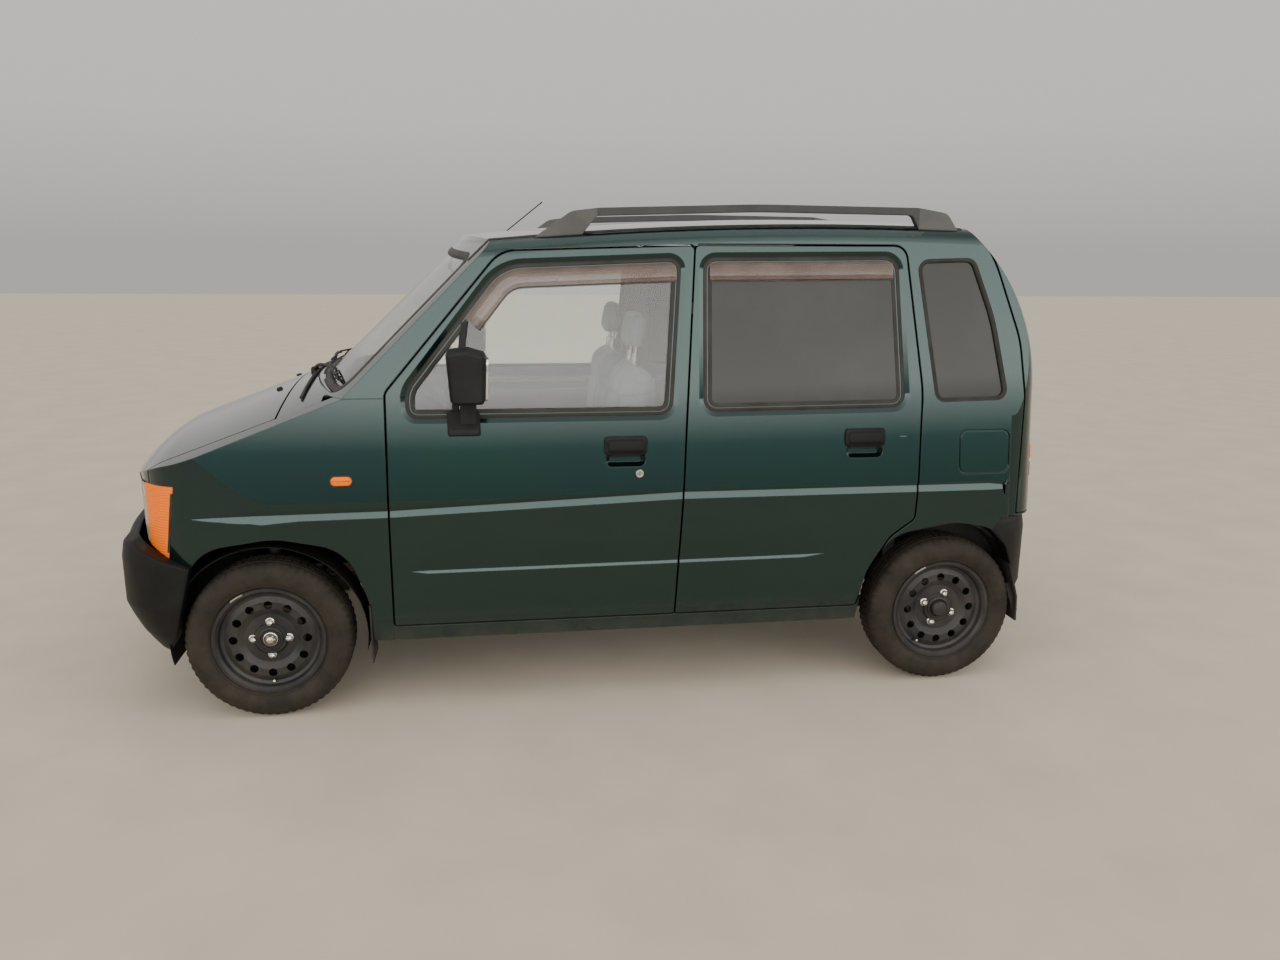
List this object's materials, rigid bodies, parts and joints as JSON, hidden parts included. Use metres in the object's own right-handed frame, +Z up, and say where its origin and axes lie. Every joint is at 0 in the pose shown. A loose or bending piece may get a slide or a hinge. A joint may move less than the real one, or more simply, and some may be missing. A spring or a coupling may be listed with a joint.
{
  "type": "kei car",
  "caption": "Tall-box kei car with four side doors, tailgate, roof rails and steel wheels; doors, lids, steering and wheels move.",
  "frame": {"origin": "on the ground under the middle of the car", "axes": "+X forward, +Y to the left of the car, +Z up"},
  "size_m": [3.2948, 1.69, 1.7295],
  "materials": {
    "paint": "gloss",
    "bumper_plastic": "matte",
    "trim_plastic": "satin",
    "glass_clear": "gloss",
    "glass_dark": "gloss",
    "lamp_clear": "gloss",
    "lamp_amber": "gloss",
    "lamp_red": "gloss",
    "tyre_rubber": "matte",
    "wheel_steel": "satin",
    "chassis_steel": "satin",
    "hub_steel": "rough",
    "bare_steel": "brushed",
    "engine_alloy": "cast",
    "rubber_flap": "matte",
    "seat_fabric": "matte",
    "dash_plastic": "matte"
  },
  "bodies": {
    "front_left_door": {"front_left_door": "paint", "front_left_door_glass": "glass_clear", "front_left_mirror_and_handle": "trim_plastic"},
    "front_right_door": {"front_right_door": "paint", "front_right_door_glass": "glass_clear", "front_right_mirror_and_handle": "trim_plastic"},
    "rear_left_door": {"rear_left_door": "paint", "rear_left_door_glass": "glass_dark", "rear_left_door_handle": "trim_plastic"},
    "rear_right_door": {"rear_right_door": "paint", "rear_right_door_glass": "glass_dark", "rear_right_door_handle": "trim_plastic"},
    "root": {"body_side_left": "paint", "body_side_right": "paint", "roof_panel": "paint", "left_wing": "paint", "right_wing": "paint", "windscreen": "glass_clear", "quarter_glass": "glass_dark", "headlamps": "lamp_clear", "corner_lamps": "lamp_amber", "grille": "trim_plastic", "front_bumper": "bumper_plastic", "rear_bumper": "bumper_plastic", "underbody": "chassis_steel", "front_structure": "paint", "front_suspension": "chassis_steel", "rear_axle": "hub_steel", "engine_block": "engine_alloy", "fuel_tank": "chassis_steel", "exhaust": "bare_steel", "dashboard": "dash_plastic", "front_seats": "seat_fabric", "rear_seat": "seat_fabric", "steering_column": "dash_plastic", "roof_rails": "trim_plastic", "aerial": "trim_plastic", "mudflaps": "rubber_flap"},
    "fuel_flap": {"fuel_flap": "paint"},
    "bonnet": {"bonnet": "paint"},
    "tailgate": {"tailgate": "paint", "tail_lamps": "lamp_red", "tailgate_glass": "glass_dark"},
    "left_knuckle": {"left_knuckle": "hub_steel"},
    "right_knuckle": {"right_knuckle": "hub_steel"},
    "steering_wheel": {"steering_wheel": "dash_plastic"},
    "front_left_wheel": {"front_left_tyre": "tyre_rubber", "front_left_rim": "wheel_steel"},
    "front_right_wheel": {"front_right_tyre": "tyre_rubber", "front_right_rim": "wheel_steel"},
    "rear_left_wheel": {"rear_left_tyre": "tyre_rubber", "rear_left_rim": "wheel_steel"},
    "rear_right_wheel": {"rear_right_tyre": "tyre_rubber", "rear_right_rim": "wheel_steel"}
  },
  "joints": [
    {"name": "front_left_door_hinge", "type": "hinge", "parent": "root", "child": "front_left_door", "pos_m": [0.7185, 0.691, 0.7], "axis": [0, 0, -1], "range_deg": [0, 65]},
    {"name": "rear_left_door_hinge", "type": "hinge", "parent": "root", "child": "rear_left_door", "pos_m": [-0.228, 0.691, 0.7], "axis": [0, 0, -1], "range_deg": [0, 65]},
    {"name": "front_right_door_hinge", "type": "hinge", "parent": "root", "child": "front_right_door", "pos_m": [0.7185, -0.691, 0.7], "axis": [0, 0, 1], "range_deg": [0, 65]},
    {"name": "rear_right_door_hinge", "type": "hinge", "parent": "root", "child": "rear_right_door", "pos_m": [-0.228, -0.691, 0.7], "axis": [0, 0, 1], "range_deg": [0, 65]},
    {"name": "bonnet_hinge", "type": "hinge", "parent": "root", "child": "bonnet", "pos_m": [1.048, 0, 1.06], "axis": [0, -1, 0], "range_deg": [0, 50]},
    {"name": "tailgate_hinge", "type": "hinge", "parent": "root", "child": "tailgate", "pos_m": [-1.2705, 0, 1.641], "axis": [0, 1, 0], "range_deg": [0, 80]},
    {"name": "fuel_flap_hinge", "type": "hinge", "parent": "root", "child": "fuel_flap", "pos_m": [-1.2385, 0.682, 0.8535], "axis": [0, 0.1225, -0.9925], "range_deg": [0, 95]},
    {"name": "steer_left", "type": "hinge", "parent": "root", "child": "left_knuckle", "pos_m": [1.1125, 0.56, 0.168], "axis": [0, -0.2078, 0.9782], "range_deg": [-35, 35]},
    {"name": "steer_right", "type": "hinge", "parent": "root", "child": "right_knuckle", "pos_m": [1.1125, -0.56, 0.168], "axis": [0, 0.2078, 0.9782], "range_deg": [-35, 35]},
    {"name": "steering_wheel_turn", "type": "hinge", "parent": "root", "child": "steering_wheel", "pos_m": [0.455, -0.31, 0.965], "axis": [-0.8829, 0, 0.4695], "range_deg": [-560, 560]},
    {"name": "front_left_wheel_spin", "type": "hinge", "parent": "left_knuckle", "child": "front_left_wheel", "pos_m": [1.1125, 0.61, 0.268], "axis": [0, 1, 0], "continuous": true},
    {"name": "rear_left_wheel_spin", "type": "hinge", "parent": "root", "child": "rear_left_wheel", "pos_m": [-1.2225, 0.61, 0.268], "axis": [0, 1, 0], "continuous": true},
    {"name": "front_right_wheel_spin", "type": "hinge", "parent": "right_knuckle", "child": "front_right_wheel", "pos_m": [1.1125, -0.61, 0.268], "axis": [0, 1, 0], "continuous": true},
    {"name": "rear_right_wheel_spin", "type": "hinge", "parent": "root", "child": "rear_right_wheel", "pos_m": [-1.2225, -0.61, 0.268], "axis": [0, 1, 0], "continuous": true}
  ],
  "couplings": [
    {"joint": "steer_right", "follows": "steer_left", "ratio": 1},
    {"joint": "steering_wheel_turn", "follows": "steer_left", "ratio": 16}
  ]
}
